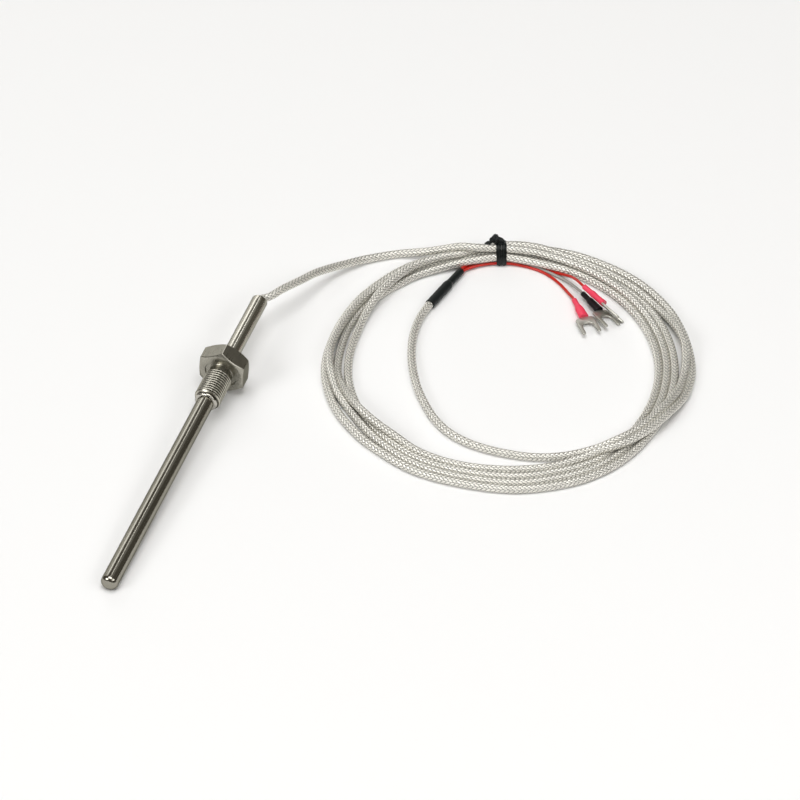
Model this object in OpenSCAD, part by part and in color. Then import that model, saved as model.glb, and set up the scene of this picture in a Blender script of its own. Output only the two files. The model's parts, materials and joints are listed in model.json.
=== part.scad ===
// Threaded resistance-temperature probe with a braided lead: a closed steel sheath brazed into a
// hexagon fitting with a metric thread, a rear sleeve that grips the lead, and three cores that end
// in insulated fork terminals. It lies at rest on a floor at z = 0: the sheath's tip and one corner
// of the hexagon touch the floor, and the lead lies beside it in one tied coil.
// The probe runs from its tip (-Y) to the end of its rear sleeve (+Y), and the lead lies on +X.

/* [Sheath] */
// Outer diameter of the probe sheath
sheath_d = 6.35; // [5:0.05:7]
// Wall of the probe sheath
sheath_wall = 0.5; // [0.3:0.05:0.8]
// Distance from the hexagon's shoulder to the probe's tip
insertion_length = 110; // [80:1:140]
// Radius of the rounded edge at the tip
tip_round = 1.2; // [0.6:0.1:2]
// Thickness of the closed end
tip_wall = 1.2; // [0.8:0.1:2]

/* [Process fitting] */
// Width of the hexagon across its flats
hex_flats = 17; // [15:0.5:19]
// Length of the hexagon along the probe
hex_length = 7; // [5:0.5:10]
// How far the corner chamfers run down the hexagon's edges
hex_chamfer = 1; // [0.5:0.1:1.5]
// How far the hexagon is turned from standing exactly on a corner
hex_roll = 4; // [0:1:8]
// Major diameter of the thread
thread_d = 10; // [9:0.5:12]
// Length of the threaded length
thread_length = 12; // [8:0.5:20]
// Chamfer at both ends of the thread
thread_chamfer = 0.6; // [0.4:0.1:1]
// Diameter of the relief neck behind the thread
neck_d = 8.7; // [8:0.1:9]
// Length of the relief neck
neck_length = 2; // [1:0.5:4]
// Diameter of the recess in the shoulder, round the neck
recess_d = 12.2; // [11.5:0.1:13]
// Depth of the recess
recess_depth = 0.5; // [0.2:0.1:1]
// Length of the braze bead where the sheath leaves the thread
bead_length = 1.4; // [0.8:0.1:2]
// How far the braze bead stands out from the sheath
bead_height = 1.1; // [0.6:0.1:1.3]

/* [Rear sleeve] */
// Outer diameter of the rear sleeve
sleeve_d = 6; // [5:0.1:6.3]
// Wall of the rear sleeve
sleeve_wall = 0.5; // [0.3:0.05:0.7]
// Length of the sleeve behind the hexagon
sleeve_length = 33; // [25:1:45]
// Radius of the sleeve's outer edge at its rear end
sleeve_round = 0.35; // [0.1:0.05:0.4]
// How far the potting compound stops short of the sleeve's end
potting_recess = 0.5; // [0.2:0.1:1]

/* [Inside the probe] */
// Diameter of the ceramic sensing element
element_d = 3; // [2:0.1:3.6]
// Length of the sensing element
element_length = 16; // [10:1:25]
// Powder between the element and the closed end
element_gap = 1; // [0.5:0.1:3]
// Length of packed powder behind the element
powder_tail = 4; // [2:0.5:10]
// Clearance all round the ceramic insulator
insulator_clearance = 0.1; // [0.05:0.05:0.2]
// How far in front of the shoulder the insulator ends
insulator_end = 2; // [1:0.5:6]
// Diameter of the element's bare wires
element_wire_d = 0.5; // [0.3:0.05:0.6]
// Clearance between a bare wire and its bore in the insulator
bore_clearance = 0.1; // [0.05:0.05:0.2]
// Distance of each bare wire from the probe's axis
element_wire_offset = 0.9; // [0.8:0.05:1]
// Place of the wire splices behind the shoulder
splice_start = 9; // [5:0.5:12]
// Length of a wire splice
splice_length = 5; // [3:0.5:7]
// Diameter of a wire splice
splice_d = 1.2; // [1.1:0.05:1.3]
// How far the lead reaches into the rear sleeve
lead_grip = 10; // [6:0.5:14]

/* [Lead] */
// Diameter of the braided lead
lead_d = 3; // [2.4:0.1:3.2]
// Diameter of an insulated core
core_d = 1.1; // [0.9:0.05:1.2]
// Distance of each core from the lead's axis
core_offset = 0.72; // [0.7:0.01:0.75]

/* [Breakout sleeve] */
// Length of the heat-shrink sleeve where the cores leave the braid
breakout_length = 22.5; // [18:0.5:28]
// Length of its thick end, over the braid
breakout_thick_length = 13.8; // [10:0.1:16]
// Diameter of its thick end
breakout_thick_d = 3.7; // [3.5:0.1:4]
// Diameter of its thin end, over the cores
breakout_thin_d = 2.9; // [2.8:0.1:3.2]
// How far the lead and the cores reach into the sleeve
breakout_grip = 8; // [5:0.5:8.5]

/* [Fork terminals] */
// Overall length of a terminal with its insulating sleeve
terminal_length = 20.5; // [18:0.5:24]
// Length of the insulating sleeve
boot_length = 11; // [9:0.5:13]
// Length of the sleeve's thin end, over the core
boot_thin_length = 4.2; // [3:0.1:5]
// Diameter of the sleeve's thin end
boot_thin_d = 2; // [1.8:0.1:2.4]
// Diameter of the sleeve's thick end, over the barrel
boot_thick_d = 3; // [2.8:0.1:3.4]
// Length of the cone between the thin and the thick end
boot_cone_length = 1.2; // [0.6:0.1:2]
// Diameter of the metal barrel
barrel_d = 2.4; // [2.2:0.1:2.6]
// Thickness of the fork's sheet
fork_thickness = 0.8; // [0.5:0.1:0.8]
// Width of the fork over its two prongs
fork_width = 7.2; // [6.4:0.1:9]
// Width of the slot that takes the screw
slot_width = 4.3; // [3.2:0.1:5]
// Depth of the slot, measured to the bottom of its round root
slot_depth = 6.3; // [4:0.1:7]
// Corner radius of the fork's shoulders
shoulder_round = 1.2; // [0.5:0.1:2]

/* [Tie] */
// Width of the twist tie over its two strips
tie_width = 3.9; // [3:0.1:5]
// Thickness of a strip
tie_thickness = 0.6; // [0.4:0.05:0.6]

/* [Hidden] */
$fn = 48;
tube_sides = 8;
over = 0.5;

// Radii and stations along the probe's own axis: zero is the hexagon's shoulder, plus is rearwards
sheath_r = sheath_d / 2;
sheath_bore_r = sheath_r - sheath_wall;
sleeve_r = sleeve_d / 2;
sleeve_bore_r = sleeve_r - sleeve_wall;
hex_corner_r = hex_flats / 2 / cos(30);
thread_front = -neck_length - thread_length;
tube_joint = hex_length / 2;
sleeve_end = hex_length + sleeve_length;
tip = -insertion_length;
tip_inside = tip + tip_wall;
element_front = tip_inside + element_gap;
element_rear = element_front + element_length;
powder_rear = element_rear + powder_tail;
splice_end = splice_start + splice_length;
potting_face = sleeve_end - potting_recess;
lead_start = sleeve_end - lead_grip;

// The probe lies on its tip and on a corner of the hexagon: its tilt and the shoulder's height
contact_run = insertion_length - tip_round + hex_chamfer;
contact_rise = hex_corner_r * cos(hex_roll) - sheath_r + tip_round;
tilt = atan2(contact_rise, contact_run) - asin(tip_round / norm([contact_run, contact_rise]));
shoulder_height = hex_corner_r * cos(hex_roll) * cos(tilt) - hex_chamfer * sin(tilt);
// The middle of the probe's length lies over the origin
shoulder_y = (insertion_length - sleeve_end) / 2 * cos(tilt);

// A point on the probe's axis, at a station measured from the shoulder
function on_probe(s) = [0, shoulder_y + s * cos(tilt), shoulder_height + s * sin(tilt)];

// The coil: its centre on the floor, and a point of it by angle, radius and height
coil_centre = [94.4, 81.7];
function on_coil(angle, r, z) =
    [coil_centre[0] + r * cos(angle), coil_centre[1] + r * sin(angle), z];
// The direction in which the lead runs round the coil, clockwise from above
function coil_direction(angle) = [sin(angle), -cos(angle), 0];

tie_angle = 112;
// Each stretch of the coil starts this many degrees early, inside the one before
stretch_overlap = 0.5;
lead_meets_coil = 120;
tail_leaves_coil = -29 - stretch_overlap;
// Outer shape of the coil: for each stretch its two angles, then the strands' radius and height,
// in order round the edge of the section
coil_stretches = [
    [-48, -29, [[57.3, 1.5], [60.3, 1.5], [63.3, 1.5], [61.8, 4.1]]],
    [-29, -2, [[57.3, 1.5], [60.3, 1.5], [63.3, 1.5], [61.8, 4.1], [58.8, 4.1]]],
    [-2, 30, [[55.5, 1.5], [58.5, 1.5], [61.5, 1.5], [64.5, 1.5], [67.5, 1.5]]],
    [30, 88, [[58.9, 1.5], [61.9, 1.5], [64.9, 1.5], [67.9, 1.5], [60.4, 4.1]]],
    [88, 104, [[60.2, 2.9], [63.2, 2.4], [66.2, 1.9], [64.9, 4.6], [61.9, 5.4]]],
    [104, 120, [[60.2, 3.5], [63.2, 3], [66.2, 2.5], [62.2, 6], [59.1, 6.3]]],
    [120, 125, [[61.2, 3], [64.2, 2.6], [67.2, 2.2]]],
    [125, 140, [[61.4, 1.5], [64.4, 1.5], [67.2, 1.5]]],
    [140, 200, [[59.5, 1.5], [62.5, 1.5], [65.5, 1.5], [64, 4.1]]],
    [200, 250, [[58, 1.5], [61, 1.5], [64, 1.5], [59.5, 4.1]]],
    [250, 312, [[54.9, 1.5], [57.9, 1.5], [60.9, 1.5], [63.9, 1.5]]]
];
// Share of the lead's diameter that the filling between two strands takes up
strand_fill = 0.6;

// Inside outline of the tie, by radius and height in the coil
tie_outline = [[58.6, 0.75], [67.85, 0.75], [67.85, 3.2], [66.9, 4.1], [63.4, 7.5], [62.2, 7.7],
    [58.9, 7.9], [57.5, 7], [57.5, 5.5], [58.6, 3.1]];
// The twisted knot on the tie: its foot and its size, and the loose end of a strip
knot_radius = 63.2;
knot_height = 8.1;
knot_d = 3;
knot_length = 2.9;
knot_lean = 10;
loose_end_length = 6;

// Route of the lead from the potting to the coil
lead_route = [
    on_probe(lead_start), on_probe(potting_face), on_probe(sleeve_end + 0.8),
    [2.2, 78.4, 12.3], [5, 84.4, 12], [9.2, 93.1, 10.3], [12.4, 101, 8], [17.1, 110.8, 4.5],
    [25.4, 121.4, 1.8], [35.6, 128.5, 1.5], [44.8, 130.6, 3.4], [54, 132.7, 5.8],
    on_coil(lead_meets_coil, 59.1, 6.3)
];

// The breakout sleeve lies along this line, from the braid to the cores
breakout_start = [56.3, 105, breakout_thick_d / 2];
breakout_heading = 79.5;
function on_breakout(s) =
    breakout_start + s * [cos(breakout_heading), sin(breakout_heading), 0];

// Route of the lead from the coil to the breakout sleeve
tail_route = [
    on_coil(tail_leaves_coil, 58.8, 4.1), on_coil(-33, 57.2, 4.5), on_coil(-36.5, 55.5, 4.1),
    on_coil(-40, 54, 3.1), on_coil(-43.5, 52.7, 2.2), on_coil(-47.5, 51.2, 1.6),
    [124.6, 42.6, 1.5], [117.6, 40.4, 1.5], [110.4, 39, 1.5], [104, 38.4, 1.5],
    [97.6, 38, 1.5], [91, 38.6, 1.5], [85.2, 41, 1.5], [79.6, 45, 1.5], [73.6, 50.6, 1.5],
    [68.2, 57, 1.5], [63.8, 64.2, 1.5], [60.4, 71.8, 1.5], [58, 79.6, 1.5], [56.4, 87.6, 1.5],
    [55.7, 95.6, 1.6], on_breakout(-1.5), on_breakout(0), on_breakout(breakout_grip)
];

// Fork terminals: where the core enters, heading, pitch and roll of each
terminal_places = [
    [[105.2, 126.8, 1.15], -52, 4, 0],
    [[107.4, 130.1, 2.25], -37, -0.7, -18],
    [[108, 129.4, 6.55], -26.7, -8.8, -57]
];
function on_terminal(i, s) =
    let (p = terminal_places[i - 1])
    p[0] + s * [cos(p[2]) * cos(p[1]), cos(p[2]) * sin(p[1]), sin(p[2])];

// Places of the three cores round the lead's axis: first red, second red, white
core_angles = [-60, 180, 60];
function core_place(i) = core_offset * [cos(core_angles[i - 1]), sin(core_angles[i - 1])];
// A core's place in the thin end of the breakout sleeve, where its first angle points down
function core_exit(i, s) =
    on_breakout(s) + core_place(i)[0] * [0, 0, -1]
    + core_place(i)[1] * [-sin(breakout_heading), cos(breakout_heading), 0];
core_stop = breakout_length - breakout_grip;
// How far a core reaches into its terminal
core_reach = boot_length - 2;

red_core_1_route = [
    core_exit(1, core_stop), core_exit(1, breakout_length), core_exit(1, breakout_length + 0.6),
    on_coil(123, 57.2, 1), on_coil(118, 58.7, 1.1), on_coil(115, 59.25, 1.3),
    on_coil(112, 59.3, 1.35), on_coil(108, 59.2, 1.3), on_coil(103, 58, 0.7), [86, 138.4, 0.6], [89.4, 137.6, 0.6],
    [92.6, 136.4, 0.6], [95.4, 134.8, 0.6], [98, 132.9, 0.7], [100.4, 130.9, 0.8],
    [102.6, 128.9, 0.95], on_terminal(1, -1), on_terminal(1, 0), on_terminal(1, core_reach)
];
red_core_2_route = [
    core_exit(2, core_stop), core_exit(2, breakout_length), core_exit(2, breakout_length + 0.6),
    on_coil(125, 58.6, 2), on_coil(123.3, 60, 0.8), on_coil(120, 60.9, 0.85),
    on_coil(116, 61.4, 1.2), on_coil(112, 61.6, 1.35), on_coil(108, 61.5, 1.3),
    on_coil(103, 60.8, 0.75), on_coil(99, 60.2, 0.6), on_coil(95, 59.4, 0.6),
    on_coil(91.4, 58.1, 0.9), [96.8, 138.4, 1.9], [100.2, 136.9, 3.2], [102.1, 135.1, 4.3],
    [103.9, 133.2, 5.3], [105.7, 131.3, 6.1], on_terminal(3, -0.8), on_terminal(3, 0), on_terminal(3, core_reach)
];
white_core_route = [
    core_exit(3, core_stop), core_exit(3, breakout_length), core_exit(3, breakout_length + 0.6),
    on_coil(125.4, 58, 0.65), on_coil(123, 58.6, 0.6), on_coil(120, 59.6, 0.8),
    on_coil(116, 60.2, 1.2), on_coil(112, 60.45, 1.35), on_coil(108, 60.3, 1.3),
    on_coil(103, 59.4, 0.75), on_coil(99, 58.7, 0.6), on_coil(95, 57.8, 0.6),
    [94.3, 137.8, 0.6], [97.1, 137.6, 0.6], [100.1, 136.6, 0.8], [103.2, 134.5, 1.2],
    [105.2, 132.2, 1.8], on_terminal(2, -1), on_terminal(2, 0), on_terminal(2, core_reach)
];

// ---- Sweeping a round tube along a route ----

function unit(v) = v / norm(v);
// Direction of the route at a point: the mean of the runs on both sides
function route_direction(route, i) =
    i == 0 ? unit(route[1] - route[0])
    : i == len(route) - 1 ? unit(route[i] - route[i - 1])
    : unit(unit(route[i] - route[i - 1]) + unit(route[i + 1] - route[i]));
function tube_ring(centre, direction, r) =
    let (side = unit(cross(direction, [0, 0, 1])), up = cross(side, direction))
    [for (k = [0 : tube_sides - 1])
        let (a = (k + 0.5) * 360 / tube_sides)
        centre + r * cos(a) * side + r * sin(a) * up];

// A closed tube along the route; first and last set the directions of its two ends
module tube(route, d, first = undef, last = undef) {
    n = len(route);
    directions = [for (i = [0 : n - 1])
        i == 0 && !is_undef(first) ? first
        : i == n - 1 && !is_undef(last) ? last
        : route_direction(route, i)];
    points = [for (i = [0 : n - 1]) each tube_ring(route[i], directions[i], d / 2)];
    sides = [for (i = [0 : n - 2], k = [0 : tube_sides - 1])
        let (a = i * tube_sides + k, b = i * tube_sides + (k + 1) % tube_sides)
        each [[a, a + tube_sides, b], [b, a + tube_sides, b + tube_sides]]];
    front = [for (k = [0 : tube_sides - 1]) k];
    back = [for (k = [tube_sides - 1 : -1 : 0]) (n - 1) * tube_sides + k];
    polyhedron(points = points, faces = concat(sides, [front, back]));
}

// ---- Placing pieces ----

// Puts a piece that is built along +Z on the probe's axis, with its zero at the shoulder
module on_probe_axis() {
    translate([0, shoulder_y, shoulder_height])
        rotate([tilt - 90, 0, 0])
            children();
}

module along(start, heading, pitch = 0, roll = 0) {
    translate(start)
        rotate([0, 90 - pitch, heading])
            rotate([0, 0, roll])
                children();
}

module rod(from, to, r, place = [0, 0]) {
    translate([place[0], place[1], from])
        cylinder(r = r, h = to - from);
}

// ---- Probe ----

module probe_sheath() {
    edge = sheath_r - tip_round;
    color("silver") on_probe_axis()
        difference() {
            union() {
                rod(tip + tip_round, tube_joint, sheath_r);
                rod(tip, tip + tip_round, edge);
                translate([0, 0, tip + tip_round])
                    rotate_extrude()
                        translate([edge, 0])
                            intersection() {
                                circle(r = tip_round);
                                translate([0, -tip_round])
                                    square([tip_round, tip_round]);
                            }
            }
            rod(tip_inside, tube_joint + over, sheath_bore_r);
        }
}

// Hexagon with both ends chamfered by a 30 degree cone
module chamfered_hexagon() {
    end_r = hex_corner_r - hex_chamfer / tan(30);
    intersection() {
        rotate([0, 0, 90 + hex_roll])
            cylinder(r = hex_corner_r, h = hex_length, $fn = 6);
        rotate_extrude()
            polygon([[0, 0], [end_r, 0], [hex_corner_r, hex_chamfer],
                [hex_corner_r, hex_length - hex_chamfer], [end_r, hex_length], [0, hex_length]]);
    }
}

module process_fitting() {
    thread_r = thread_d / 2;
    color("darkgray") on_probe_axis()
        difference() {
            union() {
                difference() {
                    chamfered_hexagon();
                    rod(-over, recess_depth, recess_d / 2);
                }
                rod(-neck_length - over, recess_depth + over, neck_d / 2);
                rotate_extrude()
                    polygon([[0, thread_front], [thread_r - thread_chamfer, thread_front],
                        [thread_r, thread_front + thread_chamfer],
                        [thread_r, -neck_length - thread_chamfer],
                        [thread_r - thread_chamfer, -neck_length], [0, -neck_length]]);
            }
            rod(thread_front - over, tube_joint, sheath_r);
            rod(tube_joint - over, hex_length + over, sleeve_r);
        }
}

module braze_bead() {
    bead_r = sheath_r + bead_height;
    blend = bead_height - 0.2;
    color("lightgray") on_probe_axis()
        rotate_extrude()
            difference() {
                union() {
                    translate([sheath_r, thread_front - bead_length])
                        square([bead_height - blend, bead_length]);
                    translate([sheath_r, thread_front - bead_length + blend])
                        square([bead_height, bead_length - blend]);
                    translate([bead_r - blend, thread_front - bead_length + blend])
                        circle(r = blend);
                }
                translate([0, thread_front - bead_length - over])
                    square([sheath_r, bead_length + 2 * over]);
                translate([sheath_r, thread_front])
                    square([bead_height + over, over + blend]);
            }
}

module rear_sleeve() {
    edge = sleeve_r - sleeve_round;
    color("gainsboro") on_probe_axis()
        difference() {
            union() {
                rod(tube_joint, sleeve_end - sleeve_round, sleeve_r);
                rod(tube_joint, sleeve_end, edge);
                translate([0, 0, sleeve_end - sleeve_round])
                    rotate_extrude()
                        translate([edge, 0])
                            intersection() {
                                circle(r = sleeve_round);
                                square([sleeve_round, sleeve_round]);
                            }
            }
            rod(tube_joint - over, sleeve_end + over, sleeve_bore_r);
        }
}

// ---- Inside the probe ----

element_wire_r = element_wire_d / 2;
function element_wire_place(i) = [0, (i == 1 ? 1 : -1) * element_wire_offset];
// The first splice joins one core, and the second joins the other two
function inner_core_place(i) =
    let (a = [90, 210, 330][i - 1])
    core_offset * [cos(a), sin(a)];
splice_2_places = [for (i = [2, 3]) inner_core_place(i) + [0, -0.2]];

module sensing_element() {
    color("white") on_probe_axis()
        rod(element_front, element_rear, element_d / 2);
}

module powder_fill() {
    color("beige") on_probe_axis()
        difference() {
            rod(tip_inside, powder_rear, sheath_bore_r);
            rod(element_front, element_rear, element_d / 2);
            for (i = [1, 2])
                rod(element_rear - over, powder_rear + over, element_wire_r, element_wire_place(i));
        }
}

module insulator() {
    color("ivory") on_probe_axis()
        difference() {
            rod(powder_rear, -insulator_end, sheath_bore_r - insulator_clearance);
            for (i = [1, 2])
                rod(powder_rear - over, -insulator_end + over, element_wire_r + bore_clearance,
                    element_wire_place(i));
        }
}

module element_wire(i) {
    color("lightsteelblue") on_probe_axis()
        rod(element_rear, splice_start, element_wire_r, element_wire_place(i));
}

module splice_shape(i) {
    if (i == 1) {
        rod(splice_start, splice_end, splice_d / 2, inner_core_place(1));
    } else {
        for (p = splice_2_places)
            rod(splice_start, splice_end, splice_d / 2, p);
        translate([splice_2_places[0][0], splice_2_places[0][1] - splice_d / 2, splice_start])
            cube([splice_2_places[1][0] - splice_2_places[0][0], splice_d, splice_length]);
    }
}

module wire_splice(i) {
    color("tan") on_probe_axis()
        splice_shape(i);
}

module core_wire(i, wire_colour) {
    color(wire_colour) on_probe_axis()
        rod(splice_end, lead_start, core_d / 2, inner_core_place(i));
}

module potting() {
    color("dimgray") on_probe_axis()
        difference() {
            union() {
                rod(-insulator_end, tube_joint, sheath_bore_r);
                rod(tube_joint, potting_face, sleeve_bore_r);
            }
            for (i = [1, 2]) {
                rod(-insulator_end - over, splice_start, element_wire_r, element_wire_place(i));
                splice_shape(i);
            }
            for (i = [1 : 3])
                rod(splice_end, lead_start, core_d / 2, inner_core_place(i));
            rod(lead_start, potting_face + over, lead_d / 2);
        }
}

// ---- Lead ----

module lead_front() {
    color("lightgray")
        tube(lead_route, lead_d, last = coil_direction(lead_meets_coil));
}

// Section of the coil: the strands, with the space between neighbours filled
module coil_section(strands) {
    fill = strand_fill * lead_d;
    for (s = strands)
        translate(s)
            circle(d = lead_d);
    for (i = [0 : len(strands) - 2]) {
        step = strands[i + 1] - strands[i];
        translate(strands[i])
            rotate(atan2(step[1], step[0]))
                translate([0, -fill / 2])
                    square([norm(step), fill]);
    }
    if (strands[len(strands) - 1][1] != strands[0][1])
        polygon(strands);
}

module lead_coil() {
    color("lightgray") translate([coil_centre[0], coil_centre[1], 0])
        for (s = coil_stretches)
            rotate([0, 0, s[0] - stretch_overlap])
                rotate_extrude(angle = s[1] - s[0] + stretch_overlap)
                    coil_section(s[2]);
}

module lead_tail() {
    color("lightgray")
        tube(tail_route, lead_d, first = coil_direction(tail_leaves_coil));
}

module breakout_sleeve() {
    color("black") along(breakout_start, breakout_heading)
        difference() {
            union() {
                rod(0, breakout_thick_length, breakout_thick_d / 2);
                rod(0, breakout_length, breakout_thin_d / 2);
            }
            rod(-over, breakout_grip, lead_d / 2);
            for (i = [1 : 3])
                rod(core_stop, breakout_length + over, core_d / 2, core_place(i));
        }
}

module red_core(i) {
    color("red")
        tube(i == 1 ? red_core_1_route : red_core_2_route, core_d);
}

module white_core() {
    color("white")
        tube(white_core_route, core_d);
}

// ---- Terminals ----

module terminal_boot(i, boot_colour) {
    thick_from = boot_thin_length + boot_cone_length;
    place = terminal_places[i - 1];
    color(boot_colour) along(place[0], place[1], place[2], place[3])
        difference() {
            rotate_extrude()
                polygon([[0, 0], [boot_thin_d / 2, 0], [boot_thin_d / 2, boot_thin_length],
                    [boot_thick_d / 2, thick_from], [boot_thick_d / 2, boot_length],
                    [0, boot_length]]);
            rod(-over, thick_from + over, core_d / 2);
            rod(thick_from, boot_length + over, barrel_d / 2);
        }
}

// Flat outline of the fork, along +X from the end of the boot, which is at zero
module fork_outline() {
    reach = terminal_length - boot_length;
    prong = (fork_width - slot_width) / 2;
    half = fork_width / 2;
    root = reach - slot_depth + slot_width / 2;
    difference() {
        union() {
            polygon([[0, -barrel_d / 3], [shoulder_round, -half + shoulder_round],
                [shoulder_round, half - shoulder_round], [0, barrel_d / 3]]);
            for (side = [-1, 1]) {
                translate([1.5 * shoulder_round, side * (half - shoulder_round)])
                    circle(r = shoulder_round);
                translate([reach - prong / 2, side * (half - prong / 2)])
                    circle(d = prong);
            }
            translate([shoulder_round / 2, -half + shoulder_round])
                square([2 * shoulder_round, fork_width - 2 * shoulder_round]);
            translate([1.5 * shoulder_round, -half])
                square([reach - prong / 2 - 1.5 * shoulder_round, fork_width]);
        }
        translate([root, 0])
            circle(d = slot_width);
        translate([root, -slot_width / 2])
            square([reach, slot_width]);
    }
}

module fork_terminal(i) {
    barrel_from = boot_thin_length + boot_cone_length;
    place = terminal_places[i - 1];
    drop = fork_thickness / 2 + 0.1;
    color("darkkhaki") along(place[0], place[1], place[2], place[3])
        difference() {
            union() {
                rod(barrel_from, boot_length, barrel_d / 2);
                translate([drop + fork_thickness / 2, 0, boot_length])
                    rotate([0, -90, 0])
                        linear_extrude(height = fork_thickness)
                            fork_outline();
            }
            rod(barrel_from - over, core_reach, core_d / 2);
        }
}

// ---- Tie ----

module twist_tie() {
    color("black")
        translate([coil_centre[0], coil_centre[1], 0])
            rotate([0, 0, tie_angle]) {
                rotate([90, 0, 0])
                    linear_extrude(height = tie_width, center = true)
                        difference() {
                            offset(r = tie_thickness)
                                polygon(tie_outline);
                            polygon(tie_outline);
                        }
                translate([knot_radius, 0, knot_height])
                    rotate([0, knot_lean, 0]) {
                        rod(-0.5, knot_length, knot_d / 2);
                        translate([-knot_d / 3, 0, knot_length - 1.6])
                            cube([2, loose_end_length, tie_thickness]);
                    }
            }
}

probe_sheath();
process_fitting();
braze_bead();
rear_sleeve();
powder_fill();
sensing_element();
insulator();
element_wire(1);  // element_wire_1
element_wire(2);  // element_wire_2
wire_splice(1);  // wire_splice_1
wire_splice(2);  // wire_splice_2
core_wire(1, "white");  // core_wire_1
core_wire(2, "red");  // core_wire_2
core_wire(3, "red");  // core_wire_3
potting();
lead_front();
lead_coil();
lead_tail();
breakout_sleeve();
red_core(1);  // red_core_1
red_core(2);  // red_core_2
white_core();
terminal_boot(1, "crimson");  // terminal_boot_1
terminal_boot(2, "black");  // terminal_boot_2
terminal_boot(3, "crimson");  // terminal_boot_3
fork_terminal(1);  // fork_terminal_1
fork_terminal(2);  // fork_terminal_2
fork_terminal(3);  // fork_terminal_3
twist_tie();
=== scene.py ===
import json
import math

import bmesh
import bpy
import numpy as np
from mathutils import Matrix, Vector


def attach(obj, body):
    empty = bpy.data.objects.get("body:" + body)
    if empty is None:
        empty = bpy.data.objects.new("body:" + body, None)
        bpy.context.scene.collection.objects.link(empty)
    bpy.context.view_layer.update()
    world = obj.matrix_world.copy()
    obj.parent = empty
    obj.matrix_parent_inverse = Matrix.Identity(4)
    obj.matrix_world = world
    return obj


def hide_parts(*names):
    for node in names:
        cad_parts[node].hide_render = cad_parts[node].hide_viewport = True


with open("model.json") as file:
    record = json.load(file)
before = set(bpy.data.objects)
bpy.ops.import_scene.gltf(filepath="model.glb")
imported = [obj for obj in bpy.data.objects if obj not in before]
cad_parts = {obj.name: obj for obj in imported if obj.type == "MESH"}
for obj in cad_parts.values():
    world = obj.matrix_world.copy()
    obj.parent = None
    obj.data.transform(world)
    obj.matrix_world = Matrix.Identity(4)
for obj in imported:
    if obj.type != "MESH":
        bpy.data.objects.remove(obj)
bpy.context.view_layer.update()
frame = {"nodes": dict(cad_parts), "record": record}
MM = 0.001
TAU = 2 * math.pi


# ---- Camera: it looks down on the floor from the probe's side ----

def look_at(obj, target):
    obj.rotation_euler = (Vector(target) - obj.location).to_track_quat("-Z", "Y").to_euler()


camera_data = bpy.data.cameras.new("camera")
camera_data.lens = 256.4
camera_data.sensor_width = 36
camera_data.clip_end = 20
camera = bpy.data.objects.new("camera", camera_data)
camera.location = (0.5863, -1.3841, 1.4134)
look_at(camera, (0.06267, 0.05409, 0))
bpy.context.scene.collection.objects.link(camera)
bpy.context.scene.camera = camera


# ---- Sizes and places, in millimetres, as in the CAD model ----

LEAD_D, CORE_D, CORE_OFFSET = 3.0, 1.1, 0.72
BRAID_PITCH, BRAID_BANDS = 1.65, 8.0
SHEATH_R, SLEEVE_R = 3.175, 3.0
TILT, SHOULDER = math.radians(3.44708), np.array([0, 34.93668, 9.7132])
ALONG = np.array([0, math.cos(TILT), math.sin(TILT)])
SIDE = np.array([1.0, 0, 0])
ABOVE = np.cross(SIDE, ALONG)
COIL = np.array([94.4, 81.7, 0])
BREAKOUT, BREAKOUT_HEADING = np.array([55.8, 105.1, 1.85]), math.radians(78.2)
BREAKOUT_DIR = np.array([math.cos(BREAKOUT_HEADING), math.sin(BREAKOUT_HEADING), 0])
BREAKOUT_LENGTH, THICK_LENGTH = 22.5, 13.8
# where the core enters, heading, pitch and roll
TERMINALS = [
    ((105.2, 126.8, 1.15), -52, 4, 0),
    ((107.4, 130.1, 2.25), -37, -0.7, -18),
    ((108, 129.4, 6.55), -26.7, -8.8, -57),
]


def on_probe(s):
    return SHOULDER + s * ALONG


def on_coil(angle, r, z):
    a = math.radians(angle)
    return COIL + np.array([r * math.cos(a), r * math.sin(a), z])


def on_breakout(s):
    return BREAKOUT + s * BREAKOUT_DIR


def terminal_frame(i):
    """Origin and axes (down, left, along) of a terminal."""
    start, heading, pitch, roll = TERMINALS[i - 1]
    h, t, r = (math.radians(v) for v in (heading, 90 - pitch, roll))
    turn = np.array([[math.cos(h), -math.sin(h), 0], [math.sin(h), math.cos(h), 0], [0, 0, 1]])
    tip = np.array([[math.cos(t), 0, math.sin(t)], [0, 1, 0], [-math.sin(t), 0, math.cos(t)]])
    spin = np.array([[math.cos(r), -math.sin(r), 0], [math.sin(r), math.cos(r), 0], [0, 0, 1]])
    return np.array(start), turn @ tip @ spin


def on_terminal(i, s):
    start, axes = terminal_frame(i)
    return start + s * axes[:, 2]


CORE_ANGLES = (-60, 180, 60)


def core_exit(i, s):
    a = math.radians(CORE_ANGLES[i - 1])
    left = np.array([-BREAKOUT_DIR[1], BREAKOUT_DIR[0], 0])
    return on_breakout(s) + CORE_OFFSET * (math.cos(a) * np.array([0, 0, -1])
                                           + math.sin(a) * left)


# ---- Meshes ----

def even(points, step):
    """The points of a polyline at an even spacing."""
    points = np.asarray(points, float)
    run = np.concatenate([[0], np.cumsum(np.linalg.norm(np.diff(points, axis=0), axis=1))])
    at = np.linspace(0, run[-1], max(2, int(round(run[-1] / step))) + 1)
    return np.stack([np.interp(at, run, points[:, k]) for k in range(3)], 1)


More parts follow.
